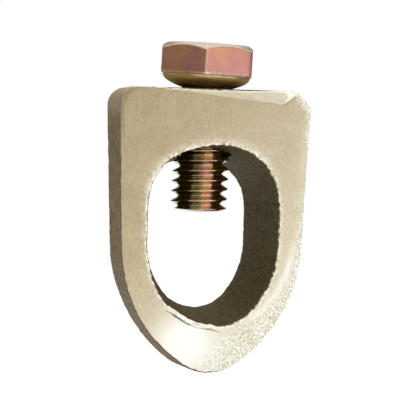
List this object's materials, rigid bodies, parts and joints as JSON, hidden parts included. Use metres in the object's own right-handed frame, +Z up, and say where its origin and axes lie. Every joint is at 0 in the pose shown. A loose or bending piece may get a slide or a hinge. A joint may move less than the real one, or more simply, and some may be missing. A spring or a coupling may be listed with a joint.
{
  "type": "earth rod clamp",
  "caption": "Cast brass eye with an egg-shaped opening and a hex-head set bolt through its flat top, for clamping a bare conductor to a ground rod.",
  "frame": {"origin": "centre of the rod seat's arc, halfway through the casting's depth", "axes": "+X to the right, -Y out of the ground front face, +Z up towards the flat top and the bolt's head"},
  "size_m": [0.0268, 0.015, 0.0471],
  "materials": {
    "cast_brass": "ground faces, sand-cast sides",
    "yellow_zinc_steel": "yellow passivated zinc"
  },
  "bodies": {
    "clamp_body": {"clamp_body": "cast_brass"},
    "hex_bolt": {"hex_bolt": "yellow_zinc_steel"}
  },
  "joints": [
    {"name": "bolt_advance", "type": "slide", "parent": "clamp_body", "child": "hex_bolt", "axis": [-0.0349, 0, -0.9994], "range_m": [-0.0127, 0.0002]}
  ]
}
